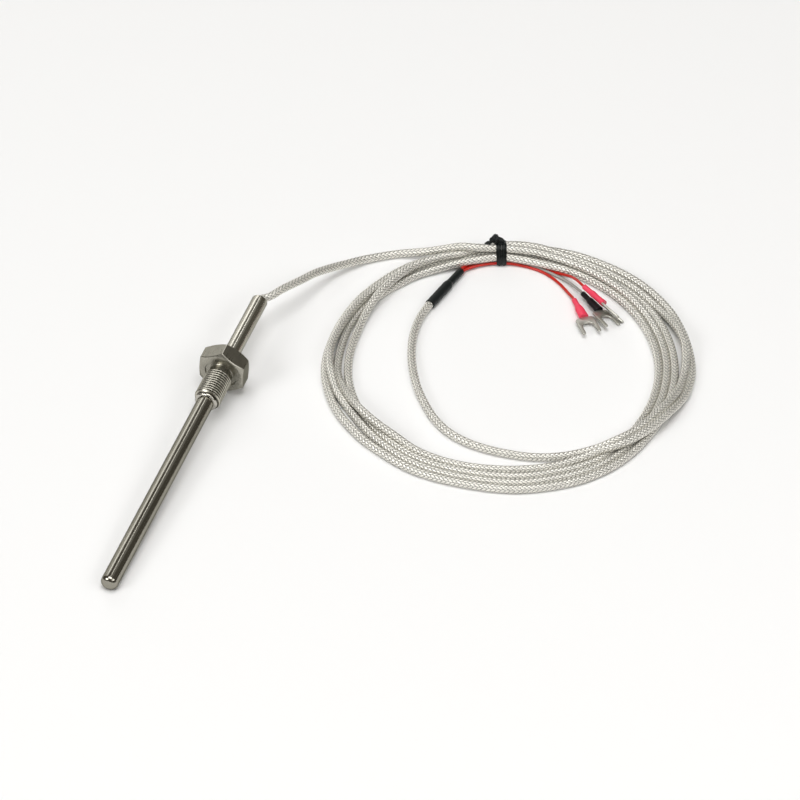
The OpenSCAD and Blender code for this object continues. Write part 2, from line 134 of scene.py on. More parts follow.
def smooth_route(route, step):
    """A smooth curve through the points of a route, at an even spacing."""
    route = np.asarray(route, float)
    ends = np.vstack([2 * route[0] - route[1], route, 2 * route[-1] - route[-2]])
    out = []
    for p0, p1, p2, p3 in zip(ends, ends[1:], ends[2:], ends[3:]):
        t1 = math.sqrt(np.linalg.norm(p1 - p0))
        t2 = t1 + math.sqrt(np.linalg.norm(p2 - p1))
        t3 = t2 + math.sqrt(np.linalg.norm(p3 - p2))
        count = max(2, int(np.linalg.norm(p2 - p1) / 0.5))
        for t in np.linspace(t1, t2, count, endpoint=False):
            a1 = p0 + (p1 - p0) * t / t1
            a2 = p1 + (p2 - p1) * (t - t1) / (t2 - t1)
            a3 = p2 + (p3 - p2) * (t - t2) / (t3 - t2)
            b1 = a1 + (a2 - a1) * t / t2
            b2 = a2 + (a3 - a2) * (t - t1) / (t3 - t1)
            out.append(b1 + (b2 - b1) * (t - t1) / (t2 - t1))
    out.append(route[-1])
    return even(out, step)


def build(name, verts, faces, uvs=None, smooth=True, sharp=None, painted_light=None):
    mesh = bpy.data.meshes.new(name)
    mesh.from_pydata((np.asarray(verts, float) * MM).tolist(), [], faces)
    if uvs is not None:
        layer = mesh.uv_layers.new(name="UVMap")
        layer.data.foreach_set("uv", np.asarray(uvs, np.float32).ravel())
    if painted_light is not None:
        mesh.attributes.new("painted_light", "FLOAT", "POINT").data.foreach_set(
            "value", np.asarray(painted_light, np.float32))
    mesh.shade_smooth() if smooth else mesh.shade_flat()
    if sharp is not None:
        mesh.set_sharp_from_angle(angle=math.radians(sharp))
    obj = bpy.data.objects.new(name, mesh)
    bpy.context.scene.collection.objects.link(obj)
    return obj


def skin(rings, along=None, caps=(True, True)):
    """Vertices, faces and texture coordinates of a skin over closed rings of points."""
    rings = np.asarray(rings, float)
    n, m = rings.shape[:2]
    if along is None:
        mid = rings.mean(1)
        along = np.concatenate([[0], np.cumsum(np.linalg.norm(np.diff(mid, axis=0), axis=1))])
    faces, uvs = [], []
    for i in range(n - 1):
        for j in range(m):
            k = (j + 1) % m
            faces.append((i * m + j, i * m + k, (i + 1) * m + k, (i + 1) * m + j))
            uvs += [(along[i], j / m), (along[i], (j + 1) / m),
                    (along[i + 1], (j + 1) / m), (along[i + 1], j / m)]
    if caps[0]:
        faces.append(tuple(reversed(range(m))))
        uvs += [(along[0], 0)] * m
    if caps[1]:
        faces.append(tuple(range((n - 1) * m, n * m)))
        uvs += [(along[-1], 0)] * m
    return rings.reshape(-1, 3), faces, uvs


def join(parts):
    verts, faces, uvs, base = [], [], [], 0
    for v, f, u in parts:
        verts.append(np.asarray(v, float))
        faces += [tuple(k + base for k in face) for face in f]
        uvs += u
        base += len(v)
    return np.vstack(verts), faces, uvs


def sweep(path, radius, sides):
    """Rings of a round section along a path; radius is a number, or one for each point."""
    path = np.asarray(path, float)
    tangent = np.gradient(path, axis=0)
    tangent /= np.linalg.norm(tangent, axis=1)[:, None]
    radius = np.broadcast_to(np.asarray(radius, float), (len(path),))
    first = np.cross(tangent[0], [0, 0, 1.0])
    side = first / np.linalg.norm(first)
    rings = []
    angles = np.arange(sides) * TAU / sides
    for p, t, r in zip(path, tangent, radius):
        side = side - t * side.dot(t)
        side /= np.linalg.norm(side)
        up = np.cross(t, side)
        rings.append(p + (np.cos(angles) * r)[:, None] * side + (np.sin(angles) * r)[:, None] * up)
    return rings


def turned(profile, origin, side, up, axis, sides=64, wobble=None):
    """Rings of a turned piece; the profile has stations along the axis and radii."""
    angles = np.arange(sides) * TAU / sides
    rings = []
    for s, r in profile:
        reach = r * np.ones(sides) if wobble is None else r + wobble(s, angles)
        rings.append(origin + s * axis + (np.cos(angles) * reach)[:, None] * side
                     + (np.sin(angles) * reach)[:, None] * up)
    return rings


def rounded(points, radius, steps=4):
    """A profile whose inner corners are rounded."""
    points = [np.array(p, float) for p in points]
    out = [tuple(points[0])]
    for a, b, c in zip(points, points[1:], points[2:]):
        la, lc = np.linalg.norm(a - b), np.linalg.norm(c - b)
        r = min(radius, 0.45 * la, 0.45 * lc)
        p, q = b + (a - b) / la * r, b + (c - b) / lc * r
        for t in np.linspace(0, 1, steps):
            out.append(tuple((1 - t) ** 2 * p + 2 * t * (1 - t) * b + t ** 2 * q))
    out.append(tuple(points[-1]))
    return out


def straight(profile, step=1.0):
    """A profile with extra stations on its long runs."""
    out = []
    for (s0, r0), (s1, r1) in zip(profile, profile[1:]):
        count = max(1, int(math.hypot(s1 - s0, r1 - r0) / step))
        out += [(s0 + (s1 - s0) * t / count, r0 + (r1 - r0) * t / count) for t in range(count)]
    return out + [profile[-1]]


# ---- Materials ----

class Shader:
    """A procedural material, with short calls for its nodes."""

    def __init__(self, name, color, roughness, metallic=0.0):
        self.material = bpy.data.materials.new(name)
        self.material.use_nodes = True
        self.tree = self.material.node_tree
        self.bsdf = next(n for n in self.tree.nodes if n.type == "BSDF_PRINCIPLED")
        self.bsdf.inputs["Base Color"].default_value = (*color, 1)
        self.bsdf.inputs["Roughness"].default_value = roughness
        self.bsdf.inputs["Metallic"].default_value = metallic

    def node(self, kind, **inputs):
        node = self.tree.nodes.new(kind)
        for key, value in inputs.items():
            self.put(node.inputs[key.replace("_", " ")], value)
        return node

    def put(self, socket, value):
        if isinstance(value, bpy.types.NodeSocket):
            self.tree.links.new(value, socket)
        else:
            socket.default_value = value

    def math(self, operation, *values):
        node = self.tree.nodes.new("ShaderNodeMath")
        node.operation = operation
        for socket, value in zip(node.inputs, values):
            self.put(socket, value)
        return node.outputs[0]

    def range(self, value, low, high, to_low=0.0, to_high=1.0):
        node = self.tree.nodes.new("ShaderNodeMapRange")
        for key, v in (("Value", value), ("From Min", low), ("From Max", high),
                       ("To Min", to_low), ("To Max", to_high)):
            self.put(node.inputs[key], v)
        return node.outputs[0]

    def coords(self, kind="Object", scale=(1, 1, 1)):
        source = self.tree.nodes.new("ShaderNodeTexCoord")
        mapping = self.tree.nodes.new("ShaderNodeMapping")
        self.tree.links.new(source.outputs[kind], mapping.inputs["Vector"])
        mapping.inputs["Scale"].default_value = scale
        return mapping.outputs[0]

    def noise(self, vector, scale, detail=3.0, roughness=0.5):
        node = self.node("ShaderNodeTexNoise", Vector=vector, Scale=scale, Detail=detail,
                         Roughness=roughness)
        return node.outputs["Fac"]

    def mix(self, factor, a, b):
        node = self.tree.nodes.new("ShaderNodeMix")
        node.data_type = "RGBA"
        sockets = [s for s in node.inputs if s.enabled]
        self.put(sockets[0], factor)
        for socket, value in zip(sockets[1:], (a, b)):
            self.put(socket, (*value, 1) if isinstance(value, tuple) else value)
        return next(s for s in node.outputs if s.enabled)

    def set(self, name, value):
        self.put(self.bsdf.inputs[name], value)

    def bump(self, height, distance, strength=1.0):
        node = self.node("ShaderNodeBump", Height=height, Distance=distance, Strength=strength)
        self.set("Normal", node.outputs[0])


def shade(base, spread):
    return tuple(max(0.0, c * spread) for c in base)


# steel seen along its surface
EDGE_TINT = (0.3, 0.3, 0.28)


def drawn_steel(name, color, roughness, streak, grain, scale, relief):
    """Steel tube with streaks along its length and a fine grain."""
    m = Shader(name, color, roughness, 1.0)
    streaks = m.noise(m.coords("UV", (0.02, 40, 1)), 1.0, 3.0)
    fine = m.noise(m.coords("Object"), scale, 3.0, 0.7)
    broad = m.noise(m.coords("Object"), 60.0, 2.0)
    both = m.math("ADD", m.math("MULTIPLY", streaks, streak), m.math("MULTIPLY", fine, grain))
    m.set("Roughness", m.range(both, 0.25, 0.75, roughness * 0.7, roughness * 1.35))
    tone = m.math("ADD", m.math("MULTIPLY", both, 0.7), m.math("MULTIPLY", broad, 0.3))
    m.set("Base Color", m.mix(m.range(tone, 0.3, 0.7), shade(color, 0.8), shade(color, 1.18)))
    m.set("Specular Tint", (*EDGE_TINT, 1))
    m.bump(both, relief, 1.0)
    return m.material


def machined_steel(name, color, roughness, metallic=1.0):
    """Bright steel; a mesh attribute paints shade into the colour where it is 1, in a groove, and a
    painted highlight where it is -1, on a crest.
    """
    m = Shader(name, color, roughness, metallic)
    wear = m.noise(m.coords(), 420.0, 2.0, 0.5)
    marks = m.noise(m.coords("Object", (1, 0.06, 1)), 1800.0, 2.0)
    # painted light: a mesh attribute, 1 for painted shade in a groove and -1 for a painted highlight on
    # a crest
    painted_light = m.node("ShaderNodeAttribute")
    painted_light.attribute_name = "painted_light"
    shade_level = painted_light.outputs["Fac"]
    face = m.mix(m.range(wear, 0.3, 0.7), shade(color, 0.92), shade(color, 1.07))
    # painted highlight: the crests are given a brighter colour
    face = m.mix(m.math("MULTIPLY", shade_level, -1.0), face, shade(color, 1.6))
    # painted shade: the grooves are given a nearly black colour
    m.set("Base Color", m.mix(shade_level, face, shade(color, 0.08)))
    m.set("Roughness", m.range(marks, 0.3, 0.7, roughness * 0.85, roughness * 1.2))
    m.set("Specular Tint", (*EDGE_TINT, 1))
    m.bump(m.math("ADD", m.math("MULTIPLY", wear, 0.5), m.math("MULTIPLY", marks, 0.5)),
           0.000004, 1.0)
    return m.material


def braid(name, color):
    """Woven metal wire: bands that pass over two and under two, each of a few parallel wires."""
    m = Shader(name, color, 0.36, 0.8)
    uv = m.tree.nodes.new("ShaderNodeSeparateXYZ")
    m.tree.links.new(m.coords("UV"), uv.inputs[0])
    along = m.math("DIVIDE", uv.outputs[0], BRAID_PITCH)
    round_ = m.math("MULTIPLY", uv.outputs[1], BRAID_BANDS)
    # the bands of each hand are counted by these, which stay above zero
    one = m.math("ADD", m.math("ADD", along, round_), 100.0)
    two = m.math("ADD", m.math("SUBTRACT", along, round_), 100.0)
    one_in, two_in = m.math("FRACT", one), m.math("FRACT", two)
    one_at, two_at = m.math("FLOOR", one), m.math("FLOOR", two)
    turn = m.math("FLOORED_MODULO", m.math("SUBTRACT", one_at, two_at), 4.0)
    over = m.math("GREATER_THAN", turn, 1.5)
    under = m.math("SUBTRACT", 1.0, over)

    def choose(a, b):
        return m.math("ADD", m.math("MULTIPLY", a, under), m.math("MULTIPLY", b, over))

    first = m.math("FLOORED_MODULO", m.math("ADD", m.math("SUBTRACT", one_at, two), 1.0), 4.0)
    second = m.math("FLOORED_MODULO", m.math("SUBTRACT", m.math("SUBTRACT", one, two_at), 2.0),
                    4.0)
    across, length = choose(one_in, two_in), m.math("MULTIPLY", choose(first, second), 0.5)
    crown = m.math("SINE", m.math("MULTIPLY", length, math.pi))
    band = m.math("POWER", m.math("SINE", m.math("MULTIPLY", across, math.pi)), 0.75)
    wires = m.math("ABSOLUTE", m.math("SINE", m.math("MULTIPLY", across, 4 * math.pi)))
    body = m.math("MULTIPLY", m.math("ADD", m.math("MULTIPLY", crown, 0.7), 0.3), band)
    height = m.math("MULTIPLY", body, m.math("ADD", m.math("MULTIPLY", wires, 0.2), 0.8))
    patch = m.noise(m.coords("Object"), 260.0, 2.0)
    light = m.mix(patch, shade(color, 0.9), shade(color, 1.1))
    # painted shade: the low parts of the weave, between and under the bands, get a much darker colour
    painted_gap_shade = shade(color, 0.3)
    m.set("Base Color", m.mix(m.range(height, 0.12, 0.5), painted_gap_shade, light))
    m.set("Roughness", m.range(height, 0.3, 1.0, 0.5, 0.28))
    m.bump(height, 0.00026, 1.0)
    return m.material


def plastic(name, color, roughness, grain=0.15, scale=1500.0, spread=0.08, gloss=0.5):
    m = Shader(name, color, roughness)
    fine = m.noise(m.coords(), scale, 4.0, 0.6)
    broad = m.noise(m.coords(), scale * 0.12, 2.0)
    m.set("Base Color", m.mix(broad, shade(color, 1 - spread), shade(color, 1 + spread)))
    m.set("Roughness", m.range(fine, 0.2, 0.8, roughness * 0.85, min(1, roughness * 1.2)))
    m.set("Specular IOR Level", gloss)
    m.bump(fine, 0.00003, grain)
    return m.material


MATERIALS = {
    "sheath_steel": drawn_steel("sheath_steel", (0.33, 0.315, 0.27), 0.17, 0.7, 0.3, 1500.0,
                                0.000012),
    "sleeve_steel": drawn_steel("sleeve_steel", (0.57, 0.55, 0.485), 0.18, 0.45, 0.5, 2400.0,
                                0.00002),
    "fitting_steel": machined_steel("fitting_steel", (0.37, 0.356, 0.307), 0.3),
    "braze": machined_steel("braze", (0.52, 0.5, 0.45), 0.16),
    "ceramic": plastic("ceramic", (0.86, 0.85, 0.8), 0.6),
    "powder": plastic("powder", (0.8, 0.79, 0.74), 0.95, 0.6),
    "bare_wire": machined_steel("bare_wire", (0.66, 0.65, 0.62), 0.25),
    "splice_metal": machined_steel("splice_metal", (0.6, 0.48, 0.26), 0.35),
    "potting": plastic("potting", (0.03, 0.03, 0.03), 0.55, 0.4),
    "braid": braid("braid", (0.92, 0.9, 0.835)),
    "heat_shrink": plastic("heat_shrink", (0.007, 0.01, 0.01), 0.4, 0.4, 1400.0, gloss=0.25),
    "red_insulation": plastic("red_insulation", (0.52, 0.014, 0.005), 0.3, 0.08),
    # painted shade: the white insulation is given a grey colour, darker than white
    "white_insulation": plastic("white_insulation", (0.38, 0.38, 0.355), 0.35, 0.08),
    "red_boot": plastic("red_boot", (0.82, 0.045, 0.1), 0.42, 0.3, 1100.0),
    "black_boot": plastic("black_boot", (0.01, 0.009, 0.011), 0.4, 0.4, 1100.0, gloss=0.3),
    "tinned_copper": machined_steel("tinned_copper", (0.54, 0.53, 0.48), 0.38, 0.8),
    "tie_plastic": plastic("tie_plastic", (0.006, 0.008, 0.008), 0.3, 0.2, 1500.0, gloss=0.25),
}

slots = {p["node"]: p.get("material_slot") for p in frame["record"].get("subparts", [])}
for name, obj in frame["nodes"].items():
    obj.data.materials.clear()
    obj.data.materials.append(MATERIALS[slots[name]])


def piece(name, parts, slot, *nodes, sharp=None, painted_light=None):
    """A visible piece of the object, and the solids that it stands for."""
    obj = build(name, *parts, sharp=sharp, painted_light=painted_light)
    obj.data.materials.append(MATERIALS[slot])
    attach(obj, "root")
    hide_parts(*nodes)
    return obj


# ---- Cords ----

# Each turn of the coil runs clockwise from the tie: angle, radius and height of its points
TIED = {"lead": (61.7, 6.0), "a": (66.2, 2.5), "b": (63.2, 3.0), "c": (64.6, 5.4), "d": (60.2, 3.5)}
RIGHT = {
    "outer": [(100, 67.4, 2), (90, 68.3, 1.6), (80, 68.5, 1.5), (65, 69, 1.5), (50, 68.7, 1.5),
              (35, 68.1, 1.5), (20, 67.8, 1.5), (13, 67.2, 1.5), (5, 65.8, 2.2),
              (-3, 63.9, 3.8), (-12, 62.3, 4.3), (-20, 61.1, 4.3), (-26, 60, 3.9),
              (-32, 58.3, 2.8), (-38, 56.6, 1.8), (-46, 55.2, 1.5)],
    "second": [(100, 65.5, 4.6), (90, 65.5, 2.6), (80, 65.6, 1.5), (65, 65.6, 1.5),
               (50, 65.9, 1.6), (40, 66.3, 3.4), (32, 66.7, 4.2), (22, 65.8, 3.2),
               (12, 64.2, 2.2), (5, 63.1, 3.3), (-3, 61.7, 4.3), (-11, 60.2, 4.4),
               (-19, 58.8, 4.3), (-25, 57.3, 3.9), (-31, 55.3, 2.8), (-38, 52.7, 1.7)],
    "third": [(100, 63.3, 2.4), (90, 63.1, 1.8), (80, 62.9, 1.5), (65, 62.6, 1.5),
              (50, 62.5, 1.5), (35, 62, 1.5), (20, 61.7, 1.5), (5, 61.6, 1.5), (-10, 61.8, 1.5),
              (-20, 62.4, 1.5), (-30, 63.2, 1.5), (-40, 64, 1.5)],
    "fourth": [(100, 61.9, 5.3), (90, 61.3, 4.4), (80, 60.9, 3.8), (65, 60, 3.2),
               (50, 59.6, 2.3), (35, 59, 1.6), (20, 58.8, 1.5), (5, 58.7, 1.5),
               (-10, 58.9, 1.5), (-20, 59.5, 1.5), (-30, 60.4, 1.5), (-40, 61, 1.5)],
    "inner": [(106, 59.8, 3.1), (100, 59.1, 2.8), (94, 58.5, 2.7), (88, 58.4, 2.4),
              (80, 58.9, 1.6), (65, 58.1, 1.5), (50, 57, 1.5), (35, 56.3, 1.5),
              (20, 55.9, 1.5), (5, 55.9, 1.5),
              (-10, 56.2, 1.5), (-20, 56.8, 1.5), (-30, 57.6, 1.5), (-40, 58.2, 1.5)],
}
LEFT = {
    "a": [(-50, 64.4, 1.5), (-70, 64, 1.5), (-100, 63.8, 1.5), (-120, 64.4, 1.5),
          (-130, 65.2, 1.5), (-140, 66.1, 1.5), (-150, 66.6, 1.5), (-160, 66.8, 1.5),
          (-170, 66.3, 1.5), (-185, 66.2, 1.5), (-200, 66.6, 1.5), (-220, 67, 1.5)],
    "b": [(-50, 61, 1.5), (-70, 60.7, 1.5), (-100, 60.4, 1.5), (-120, 60.2, 1.5),
          (-130, 60.5, 1.5), (-140, 61.2, 1.6), (-150, 62.9, 2.8), (-160, 64.8, 4.1),
          (-170, 65.3, 4.1), (-190, 64.4, 4), (-205, 64, 3.4), (-220, 63.9, 2.6)],
    "c": [(-50, 57.8, 1.5), (-70, 57.4, 1.5), (-100, 57.8, 1.5), (-120, 57.9, 1.5),
          (-130, 58.2, 1.5), (-140, 58.6, 1.5), (-150, 58.8, 1.5), (-160, 58.5, 1.5),
          (-170, 58.4, 1.5), (-180, 58.7, 1.6), (-190, 59.9, 2.6), (-200, 61.3, 4.2),
          (-210, 62.6, 4.8), (-220, 63.7, 5)],
    "d": [(-55, 54.6, 1.5), (-70, 54, 1.5), (-90, 55.2, 1.5), (-100, 55.8, 1.5),
          (-110, 56.7, 1.6), (-120, 57.4, 3.4), (-130, 58.6, 4.3), (-140, 60.3, 4),
          (-150, 61.8, 2.2), (-160, 62.5, 1.5), (-180, 62.5, 1.5), (-190, 62.6, 1.5),
          (-200, 62.2, 1.5), (-210, 61.9, 1.5), (-220, 61.7, 1.8)],
}
TIE_ANGLE, TIE_SHIFT = 112, 0.85


def lead_route():
    route = [on_probe(39.5), on_probe(40.8), (2.5, 78.2, 12.1), (5.3, 84.1, 11.7),
             (9.4, 92.9, 10.1), (12.4, 101, 8), (17.1, 110.8, 4.5), (25.4, 121.4, 1.9),
             (35.6, 128.5, 1.5), (44.8, 130.6, 3.2), (54, 132.9, 4.9), on_coil(120, 61.9, 6.1),
             on_coil(TIE_ANGLE, *TIED["lead"])]
    for right, left in (("fourth", "b"), ("third", "a"), ("outer", "d"), ("inner", "c"),
                        ("second", None)):
        route += [on_coil(*p) for p in RIGHT[right]]
        if left:
            route += [on_coil(*p) for p in LEFT[left]]
            route.append(on_coil(TIE_ANGLE, *TIED[left]))
    route += [(127.9, 44, 1.5), (119.6, 40.6, 1.5), (110.5, 39, 1.5), (101, 38.7, 1.5),
              (92.9, 39.8, 1.5), (85.5, 42.5, 1.5), (78.5, 47.4, 1.5), (72.8, 53.4, 1.5),
              (68.2, 59.2, 1.5), (64, 66, 1.5), (60.5, 73, 1.5), (57.6, 80.6, 1.5),
              (55.6, 88.6, 1.5), (54.8, 96.4, 1.6), on_breakout(-1.5), on_breakout(0),
              on_breakout(3)]
    return [np.asarray(p, float) for p in route]


CORES = {
    "red_core_1": [
        core_exit(1, 22.2), core_exit(1, 23.2), on_coil(124.5, 58, 0.9), on_coil(119, 59.1, 1),
        on_coil(TIE_ANGLE, 59.3, 1.2), on_coil(107, 59.2, 1), on_coil(102, 58.6, 0.6),
        on_coil(98, 57.5, 0.6), on_coil(94.5, 56.2, 0.6), on_coil(90.6, 54.3, 0.6),
        on_coil(85.5, 51.5, 0.6), on_coil(81.5, 48.9, 0.8), on_terminal(1, -1),
        on_terminal(1, 0), on_terminal(1, 1)],
    "red_core_2": [
        core_exit(2, 22.2), core_exit(2, 23.2), on_coil(124, 59.2, 1.1), on_coil(119, 61, 0.9),
        on_coil(TIE_ANGLE, 61.6, 1.2), on_coil(107, 61.6, 1), on_coil(101, 60.6, 0.6),
        on_coil(95, 59, 0.6), on_coil(91.4, 57.5, 1), on_coil(87.2, 56.2, 2.2),
        on_coil(83, 54.6, 3.8), (103.9, 133.2, 5.3), on_terminal(3, -0.8), on_terminal(3, 0),
        on_terminal(3, 1)],
    "white_core": [
        core_exit(3, 22.2), core_exit(3, 23.2), on_coil(124.5, 58.2, 0.6),
        on_coil(119, 60, 0.8), on_coil(TIE_ANGLE, 60.45, 1.2), on_coil(107, 60.3, 0.9),
        on_coil(101, 59.3, 0.6), on_coil(95, 57.8, 0.6), on_coil(91, 56.6, 0.6),
        on_coil(86.5, 55.1, 0.8), on_coil(82.5, 53.3, 1.3), on_terminal(2, -1),
        on_terminal(2, 0), on_terminal(2, 1)],
}
core_paths = {name: smooth_route(route, 1.0) for name, route in CORES.items()}


def push_off(path, other, gap):
    """How far each point of a path has to move to be clear of the points of another."""
    apart = path[:, None] - other[None]
    size = np.linalg.norm(apart, axis=2)
    push = np.maximum(0, gap - size)
    touching = np.maximum(1, (push > 0).sum(1))
    return (apart / size[:, :, None] * push[:, :, None]).sum(1) / touching[:, None]


def fair(paths, walls, rounds=600):
    """The cores spring into even curves, clear of each other, of the lead and of the floor."""
    home = {name: path.copy() for name, path in paths.items()}
    for _ in range(rounds):
        for name, path in paths.items():
            bend = np.zeros_like(path)
            second = path[:-2] - 2 * path[1:-1] + path[2:]
            bend[2:-2] = second[:-2] - 2 * second[1:-1] + second[2:]
            move = -0.1 * bend + 0.004 * (home[name] - path)
            for other, points in paths.items():
                if other != name:
                    move += 0.3 * push_off(path, points, CORE_D + 0.06)
            move += 0.3 * push_off(path, walls, (LEAD_D + CORE_D) / 2 + 0.02)
            move[:3] = move[-4:] = 0
            path += move
            path[3:-4, 2] = np.maximum(path[3:-4, 2], CORE_D / 2)


def settle(path, obstacles, held, rounds=400):
    """Turns that would lie in each other, in the floor or in the cores are pushed apart."""
    gap, clear = LEAD_D + 0.02, (LEAD_D + CORE_D) / 2 + 0.02
    home, path = path.copy(), path.copy()
    index = np.arange(len(path))
    skip = int(4 * LEAD_D / np.linalg.norm(path[1] - path[0]))
    free = np.ones(len(path))
    free[:held] = free[-held:] = 0
    for k in range(rounds):
        if k % 20 == 0:
            apart = ((path[:, None] - path[None]) ** 2).sum(2)
            a, b = np.nonzero((apart < (gap + 1.5) ** 2) & (index[None] - index[:, None] > skip))
            apart = ((path[:, None] - obstacles[None]) ** 2).sum(2)
            c, d = np.nonzero(apart < (clear + 1.5) ** 2)
        move = np.zeros_like(path)
        step = path[a] - path[b]
        size = np.linalg.norm(step, axis=1)
        step *= (0.3 * np.maximum(0, gap - size) / size)[:, None]
        np.add.at(move, a, step)
        np.add.at(move, b, -step)
        step = path[c] - obstacles[d]
        size = np.linalg.norm(step, axis=1)
        step *= (0.2 * np.maximum(0, clear - size) / size)[:, None]
        np.add.at(move, c, step)
        away = path - home
        move[1:-1] += 0.25 * (0.5 * (away[:-2] + away[2:]) - away[1:-1])
        path += (move - 0.006 * away) * free[:, None]
        path[:, 2] = np.where(free > 0, np.maximum(path[:, 2], LEAD_D / 2), path[:, 2])
    return path


lead_path = settle(smooth_route(lead_route(), 2.0), np.vstack(list(core_paths.values())),
                   held=14)
lead_path = smooth_route(lead_path, 1.0)
# only this stretch of the lead comes near the cores
near_cores = np.linalg.norm(lead_path[:, :2] - [80, 137], axis=1) < 40
fair(core_paths, lead_path[near_cores])
core_paths = {name: smooth_route(path, 0.5) for name, path in core_paths.items()}


def tube(name, path, diameter, sides, slot, *nodes):
    return piece(name, skin(sweep(path, diameter / 2, sides)), slot, *nodes)


lead = tube("lead_cable", lead_path, LEAD_D, 20, "braid", "lead_front", "lead_coil", "lead_tail")
cores = {
    name: tube(name + "_insulation", path, CORE_D, 16,
               "white_insulation" if name == "white_core" else "red_insulation", name)
    for name, path in core_paths.items()
}


# ---- Breakout sleeve ----

def breakout():
    """The shrunk sleeve: thick over the braid, thin and lobed over the three cores."""
    left = np.array([-BREAKOUT_DIR[1], BREAKOUT_DIR[0], 0])
    up = np.array([0, 0, 1.0])
    profile = rounded([(0, 1.52), (0, 1.84), (THICK_LENGTH - 0.7, 1.85), (THICK_LENGTH + 0.5, 1.45),
                       (BREAKOUT_LENGTH, 1.45), (BREAKOUT_LENGTH, 1.2)], 0.5, 6)

    def wobble(s, angles):
        lobed = 0.1 * max(0, (s - THICK_LENGTH) / (BREAKOUT_LENGTH - THICK_LENGTH))
        # the cores lie below left, above and below right
        lumps = lobed * (np.cos(3 * (angles - math.pi / 2)) - 1) / 2
        return lumps + 0.025 * np.sin(2.1 * s + 2 * angles) + 0.02 * np.sin(5.3 * s - angles) - 0.03

    rings = turned(straight(profile, 0.5), BREAKOUT, left, up, BREAKOUT_DIR, 40, wobble)
    inner = turned([(BREAKOUT_LENGTH - 0.8, 1.1)], BREAKOUT, left, up, BREAKOUT_DIR, 40)
    return piece("breakout_shrink", skin(rings + inner, caps=(False, True)), "heat_shrink",
                 "breakout_sleeve", sharp=50)


breakout_piece = breakout()


# ---- Terminals ----

BOOT_LENGTH, THIN_LENGTH, TERMINAL_LENGTH = 11.0, 4.2, 20.5
FORK_WIDTH, SLOT_WIDTH, SLOT_DEPTH, SHEET = 7.2, 4.3, 6.3, 0.8


def boot(i, slot):
    """A vinyl boot: round over the core, and flat and flared over the crimped barrel."""
    origin, axes = terminal_frame(i)
    down, left, along = axes[:, 0], axes[:, 1], axes[:, 2]
    points = [(0.4, 0.58), (0, 0.8), (0.1, 1.0), (THIN_LENGTH - 0.3, 1.02),
              (THIN_LENGTH + 0.9, 1.38), (BOOT_LENGTH - 0.1, 1.58), (BOOT_LENGTH, 1.42),
              (BOOT_LENGTH - 0.05, 0.6)]
    profile = straight(rounded(points, 0.5, 5), 0.5)
    angles = np.arange(40) * TAU / 40
    rings = []
    for s, r in profile:
        share = min(1.0, max(0.0, (s - THIN_LENGTH) / 2.5))
        reach = r * (1 + 0.012 * np.sin(3 * angles + s) + 0.008 * np.sin(2 * s))
        rings.append(origin + s * along
                     + (np.cos(angles) * reach * (1 - 0.22 * share))[:, None] * down
                     + (np.sin(angles) * reach * (1 + 0.17 * share))[:, None] * left)
    return piece(f"boot_{i}", skin(rings), slot, f"terminal_boot_{i}", sharp=60)


def fork_outline():
    """Outline of the fork's sheet, from the boot's end: station and distance to the left."""
    reach, half = TERMINAL_LENGTH - BOOT_LENGTH, FORK_WIDTH / 2
    prong, corner = (FORK_WIDTH - SLOT_WIDTH) / 2, 1.3
    root, r = reach - SLOT_DEPTH + SLOT_WIDTH / 2, SLOT_WIDTH / 2
    side = [(-0.6, 1.0), (-0.1, 1.7)]
    side += [(corner - corner * math.cos(a), half - corner + corner * math.sin(a))
             for a in np.linspace(0.3, math.pi / 2, 7)]
    end = reach - prong / 2
    side += [(end + prong / 2 * math.sin(a), half + 0.1 - prong / 2 + prong / 2 * math.cos(a))
             for a in np.linspace(0, math.pi, 9)]
    side += [(root - r * math.sin(a), r * math.cos(a)) for a in np.linspace(0, math.pi / 2, 9)]
    return side + [(s, -w) for s, w in reversed(side[:-1])]


def fork(i):
    """A fork of sheet metal with rounded edges, and its round barrel in the boot."""
    origin, axes = terminal_frame(i)
    down, left, along = axes[:, 0], axes[:, 1], axes[:, 2]
    outline = fork_outline()
    n = len(outline)
    top = 0.1
    verts = []
    for depth in (top, top + SHEET):
        verts += [origin + (BOOT_LENGTH + s) * along + w * left + depth * down for s, w in outline]
    bm = bmesh.new()
    made = [bm.verts.new(tuple(v * MM)) for v in verts]
    bm.faces.new(made[:n])
    bm.faces.new(list(reversed(made[n:])))
    for k in range(n):
        bm.faces.new((made[k], made[n + k], made[n + (k + 1) % n], made[(k + 1) % n]))
    bmesh.ops.recalc_face_normals(bm, faces=bm.faces)
    rim = [e for e in bm.edges if any(len(f.verts) > 4 for f in e.link_faces)]
    bmesh.ops.bevel(bm, geom=rim, offset=0.3 * MM, segments=3, profile=0.5, affect="EDGES")
    mesh = bpy.data.meshes.new(f"fork_{i}")
    bm.to_mesh(mesh)
    bm.free()
    flat = (np.array([v.co[:] for v in mesh.vertices]) / MM, [tuple(p.vertices) for p in mesh.polygons])
    bpy.data.meshes.remove(mesh)
    barrel = skin(turned(rounded([(6, 0.5), (6, 0.95), (BOOT_LENGTH - 0.4, 0.95),
                                  (BOOT_LENGTH - 0.2, 0.8), (BOOT_LENGTH - 0.2, 0.3)], 0.2),
                         origin, down, left, along, 32))
    verts, faces, uvs = join([(flat[0], flat[1], [(0.0, 0.0)] * sum(len(f) for f in flat[1])),
                              barrel])
    return piece(f"fork_{i}", (verts, faces, uvs), "tinned_copper", f"fork_terminal_{i}", sharp=40)


boots = [boot(1, "red_boot"), boot(2, "black_boot"), boot(3, "red_boot")]
forks = [fork(i) for i in (1, 2, 3)]


# ---- Probe ----

